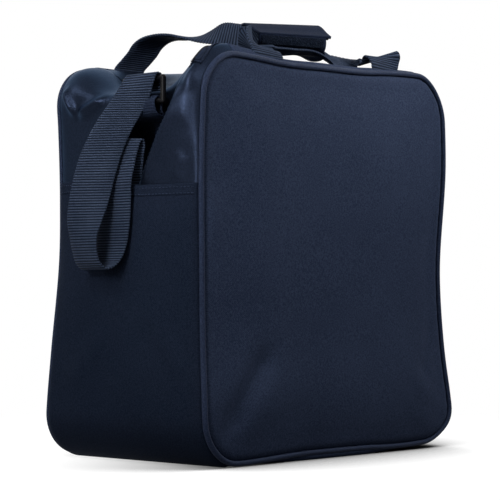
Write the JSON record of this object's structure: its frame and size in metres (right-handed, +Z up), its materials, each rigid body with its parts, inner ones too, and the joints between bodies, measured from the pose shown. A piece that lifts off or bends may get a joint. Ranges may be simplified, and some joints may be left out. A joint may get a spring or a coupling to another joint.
{
  "type": "bowling ball bag",
  "caption": "Soft upright carry bag for bowls with padded front and back, piped edges, zipped top flap, end pockets, wrap-grip handles and a shoulder strap.",
  "frame": {"origin": "centre of the base where the bag stands on the floor", "axes": "+Z up, the padded front panel faces -Y, and the end with the hanging strap faces -X"},
  "size_m": [0.3985, 0.1936, 0.3997],
  "materials": {
    "bag_cloth": "matte woven nylon",
    "satin_cloth": "satin nylon",
    "piping": "satin",
    "webbing": "ribbed weave",
    "tape": "matte tape",
    "lining": "coated nylon",
    "foam": "matte",
    "board": "matte",
    "hook_and_loop": "fuzzy loop pile",
    "black_plastic": "moulded gloss",
    "zip_metal": "plated"
  },
  "bodies": {
    "bag": {"front_shell": "bag_cloth", "back_shell": "bag_cloth", "base_panel": "bag_cloth", "left_pocket": "bag_cloth", "right_pocket": "bag_cloth", "left_pocket_hem": "bag_cloth", "right_pocket_hem": "bag_cloth", "top_front_strip": "bag_cloth", "top_rear_strip": "bag_cloth", "left_end_panel": "satin_cloth", "right_end_panel": "satin_cloth", "front_piping": "piping", "back_piping": "piping", "front_foam": "foam", "back_foam": "foam", "front_lining": "lining", "back_lining": "lining", "front_seam_binding": "tape", "back_seam_binding": "tape", "zip_tape_front": "tape", "zip_tab_left": "tape", "zip_tab_right": "tape", "zip_teeth_front": "black_plastic", "strap_hook": "black_plastic", "base_board": "board", "left_ring_tab": "webbing", "right_ring_tab": "webbing", "shoulder_strap": "webbing"},
    "top_flap": {"top_flap": "bag_cloth", "zip_tape_rear": "tape", "zip_teeth_rear": "black_plastic"},
    "front_handle": {"front_handle": "webbing"},
    "rear_handle": {"rear_handle": "webbing", "grip_sleeve": "bag_cloth", "grip_loop_strip": "hook_and_loop"},
    "grip_flap": {"grip_flap": "bag_cloth", "grip_hook_strip": "hook_and_loop"},
    "zip_slider": {"zip_slider": "zip_metal"},
    "zip_puller": {"zip_puller": "zip_metal"},
    "left_ring": {"left_ring": "black_plastic"},
    "right_ring": {"right_ring": "black_plastic"}
  },
  "joints": [
    {"name": "top_flap_lift", "type": "hinge", "parent": "bag", "child": "top_flap", "pos_m": [0, 0.07833, 0.35425], "axis": [-1, 0, 0], "range_deg": [0, 50], "deforming": ["zip_tape_rear", "zip_teeth_rear"]},
    {"name": "front_handle_swing", "type": "hinge", "parent": "bag", "child": "front_handle", "pos_m": [0, -0.08698, 0.3553], "axis": [1, 0, 0], "range_deg": [0, 210], "deforming": ["front_handle"]},
    {"name": "rear_handle_swing", "type": "hinge", "parent": "bag", "child": "rear_handle", "pos_m": [0, 0.08698, 0.3553], "axis": [-1, 0, 0], "range_deg": [0, 210], "deforming": ["rear_handle"]},
    {"name": "grip_flap_fold", "type": "hinge", "parent": "rear_handle", "child": "grip_flap", "pos_m": [0, -0.01975, 0.399], "axis": [-1, 0, 0], "range_deg": [-3, 110]},
    {"name": "zip_slide", "type": "slide", "parent": "bag", "child": "zip_slider", "axis": [1, 0, 0], "range_m": [0, 0.222]},
    {"name": "zip_puller_swing", "type": "hinge", "parent": "zip_slider", "child": "zip_puller", "pos_m": [-0.111, -0.07218, 0.36], "axis": [0, -1, 0], "range_deg": [0, 165]},
    {"name": "left_ring_swing", "type": "hinge", "parent": "bag", "child": "left_ring", "pos_m": [-0.1745, -0.028, 0.315], "axis": [0, -1, 0], "range_deg": [0, 160], "deforming": ["shoulder_strap"]},
    {"name": "right_ring_swing", "type": "hinge", "parent": "bag", "child": "right_ring", "pos_m": [0.1745, -0.028, 0.315], "axis": [0, -1, 0], "range_deg": [0, 170]}
  ],
  "couplings": [
    {"joint": "front_handle_swing", "follows": "top_flap_lift", "ratio": 4.2},
    {"joint": "rear_handle_swing", "follows": "top_flap_lift", "ratio": 4.2}
  ]
}
